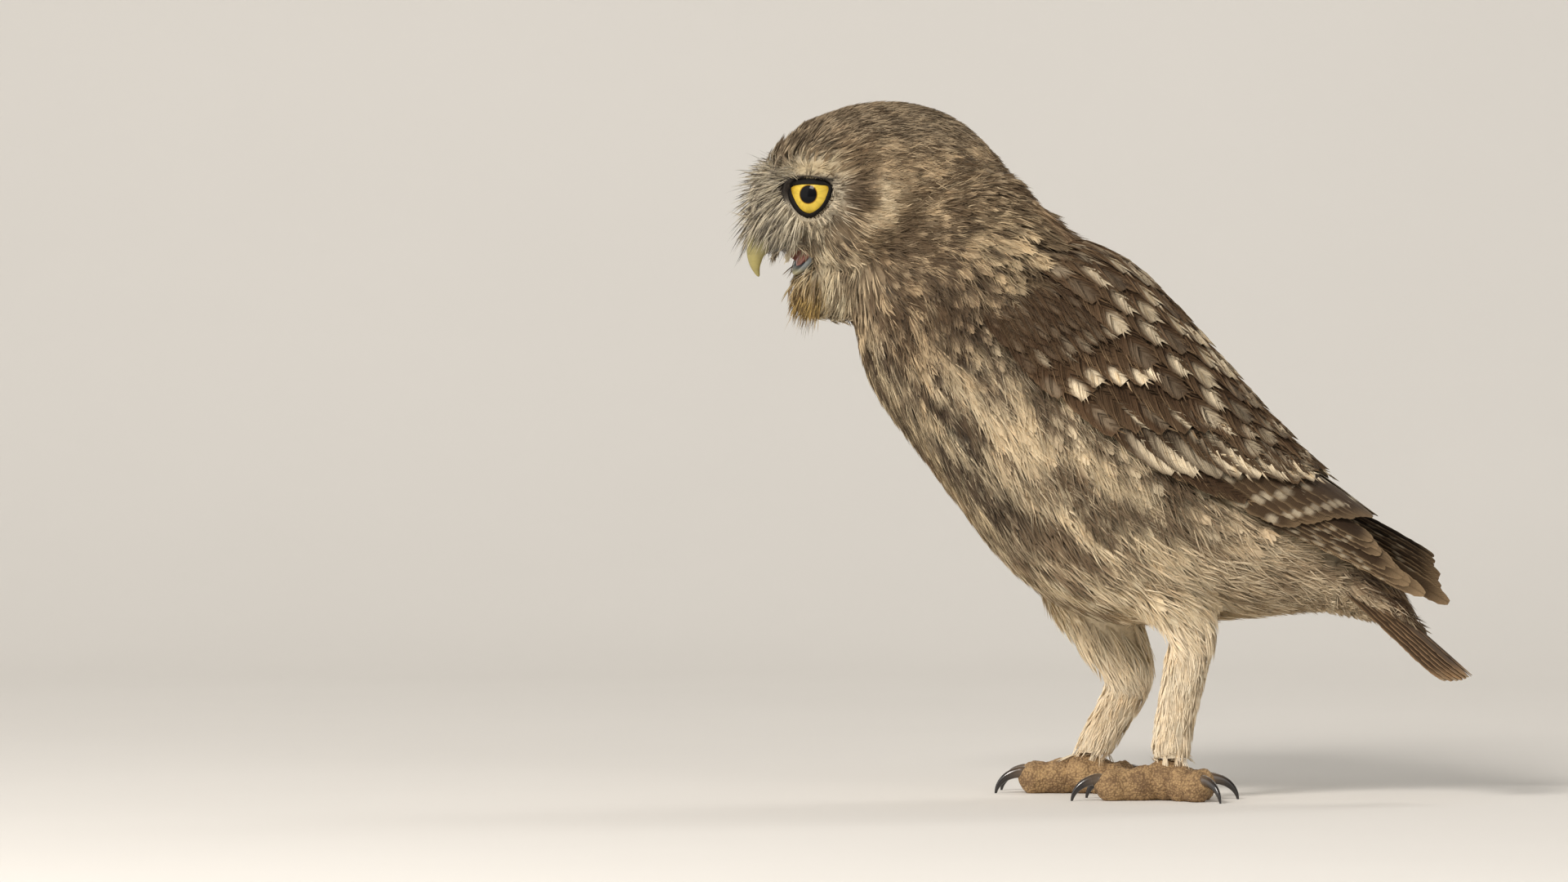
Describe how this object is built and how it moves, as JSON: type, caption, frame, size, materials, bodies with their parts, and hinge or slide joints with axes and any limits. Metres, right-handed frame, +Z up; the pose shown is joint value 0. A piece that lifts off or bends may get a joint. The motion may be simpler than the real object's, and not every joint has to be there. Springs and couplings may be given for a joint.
{
  "type": "little owl",
  "caption": "Life-size still model of a young little owl standing on both feet, leaning forward with its head turned to its left and its bill wide open.",
  "frame": {"origin": "middle of the left sole, on the floor", "axes": "+Z up; the owl's body faces -X and its left side faces -Y, towards the picture's camera"},
  "size_m": [0.1979, 0.0786, 0.1904],
  "materials": {
    "plumage": "matt grey-brown feathers, finely mottled and spotted with cream",
    "flight_plumage": "matt dark brown vanes with round cream spots and pale bars",
    "leg_plumage": "short cream-white feathering",
    "eye": "glossy, bright yellow round a black pupil",
    "bill": "satin horn, yellow-green at the tip",
    "mouth": "moist pink",
    "toe": "dusty ochre-brown, granular",
    "claw": "glossy dark horn"
  },
  "bodies": {
    "root": {"head": "plumage", "neck": "plumage", "torso": "plumage", "eye_left": "eye", "eye_right": "eye", "bill_upper": "bill", "bill_lower": "bill", "tongue": "mouth", "wing_left": "flight_plumage", "wing_right": "flight_plumage", "tail": "flight_plumage", "thigh_left": "leg_plumage", "tarsus_left": "leg_plumage", "foot_left": "toe", "thigh_right": "leg_plumage", "tarsus_right": "leg_plumage", "foot_right": "toe", "claw_inner_left": "claw", "claw_middle_left": "claw", "claw_outer_left": "claw", "claw_hind_left": "claw", "claw_inner_right": "claw", "claw_middle_right": "claw", "claw_outer_right": "claw", "claw_hind_right": "claw"}
  },
  "joints": []
}
